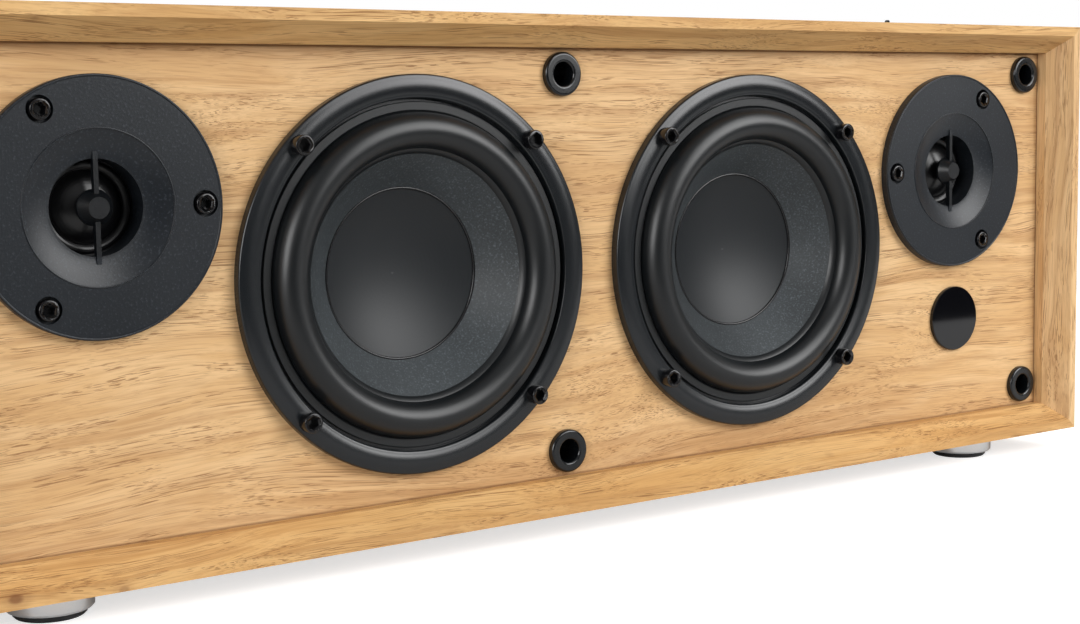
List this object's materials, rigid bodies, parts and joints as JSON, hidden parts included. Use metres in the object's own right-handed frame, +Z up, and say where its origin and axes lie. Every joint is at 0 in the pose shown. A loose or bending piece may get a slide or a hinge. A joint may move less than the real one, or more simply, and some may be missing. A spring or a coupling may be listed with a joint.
{
  "type": "loudspeaker",
  "caption": "Wide wooden active loudspeaker with woofers, tweeters, grille sockets and a receiver window on a recessed, bevelled front baffle.",
  "frame": {"origin": "middle of the footprint on the surface that the pads stand on", "axes": "+X to the listener's right, -Y towards the listener, +Z up"},
  "size_m": [0.565, 0.22, 0.2102],
  "materials": {
    "oak": "satin lacquered veneer",
    "fibreboard": "matt",
    "frame_paint": "satin",
    "rubber": "satin",
    "cone_pulp": "matt, coated",
    "cap_plastic": "satin",
    "spider_cloth": "matt",
    "copper_wire": "enamelled",
    "plated_steel": "satin",
    "ferrite": "matt",
    "terminal_board": "matt",
    "faceplate_plastic": "fine texture",
    "dome_cloth": "doped, shiny",
    "zinc_screws": "zinc",
    "black_screws": "satin",
    "socket_plastic": "satin",
    "window_plastic": "high gloss",
    "circuit_board": "satin",
    "foot_chrome": "polished",
    "plate_paint": "satin",
    "black_plastic": "satin",
    "socket_brass": "plated",
    "button_plastic": "gloss"
  },
  "bodies": {
    "cabinet": {"top_panel": "oak", "bottom_panel": "oak", "left_side_panel": "oak", "right_side_panel": "oak", "front_baffle": "oak", "rear_panel": "oak", "centre_divider": "fibreboard", "woofer_left_basket": "frame_paint", "woofer_left_surround": "rubber", "woofer_left_spider": "spider_cloth", "woofer_left_top_plate": "plated_steel", "woofer_left_magnet": "ferrite", "woofer_left_yoke": "plated_steel", "woofer_left_terminals": "terminal_board", "woofer_left_screws": "black_screws", "woofer_right_basket": "frame_paint", "woofer_right_surround": "rubber", "woofer_right_spider": "spider_cloth", "woofer_right_top_plate": "plated_steel", "woofer_right_magnet": "ferrite", "woofer_right_yoke": "plated_steel", "woofer_right_terminals": "terminal_board", "woofer_right_screws": "black_screws", "tweeter_left_faceplate": "faceplate_plastic", "tweeter_left_dome": "dome_cloth", "tweeter_left_voice_coil": "copper_wire", "tweeter_left_top_plate": "plated_steel", "tweeter_left_magnet": "ferrite", "tweeter_left_yoke": "plated_steel", "tweeter_left_screws": "black_screws", "tweeter_right_faceplate": "faceplate_plastic", "tweeter_right_dome": "dome_cloth", "tweeter_right_voice_coil": "copper_wire", "tweeter_right_top_plate": "plated_steel", "tweeter_right_magnet": "ferrite", "tweeter_right_yoke": "plated_steel", "tweeter_right_screws": "black_screws", "grille_sockets": "socket_plastic", "receiver_window": "window_plastic", "receiver_board": "circuit_board", "front_left_foot": "foot_chrome", "front_right_foot": "foot_chrome", "rear_left_foot": "foot_chrome", "rear_right_foot": "foot_chrome", "foot_pads": "rubber", "foot_screws": "zinc_screws", "amplifier_plate": "plate_paint", "mains_inlet": "black_plastic", "input_sockets": "socket_brass", "amplifier_board": "circuit_board", "power_transformer": "copper_wire", "plate_screws": "black_screws", "standby_switch": "black_plastic"},
    "woofer_left_diaphragm": {"woofer_left_cone": "cone_pulp", "woofer_left_dust_cap": "cap_plastic", "woofer_left_voice_coil": "copper_wire"},
    "woofer_right_diaphragm": {"woofer_right_cone": "cone_pulp", "woofer_right_dust_cap": "cap_plastic", "woofer_right_voice_coil": "copper_wire"},
    "button": {"standby_button": "button_plastic"}
  },
  "joints": [
    {"name": "woofer_left_travel", "type": "slide", "parent": "cabinet", "child": "woofer_left_diaphragm", "axis": [0, -1, 0], "range_m": [-0.004, 0.004], "stiffness_N_per_m": 1000, "deforming": ["woofer_left_surround", "woofer_left_spider"]},
    {"name": "woofer_right_travel", "type": "slide", "parent": "cabinet", "child": "woofer_right_diaphragm", "axis": [0, -1, 0], "range_m": [-0.004, 0.004], "stiffness_N_per_m": 1000, "deforming": ["woofer_right_surround", "woofer_right_spider"]},
    {"name": "standby_press", "type": "slide", "parent": "cabinet", "child": "button", "axis": [0, 0, -1], "range_m": [0, 0.001], "stiffness_N_per_m": 300}
  ]
}
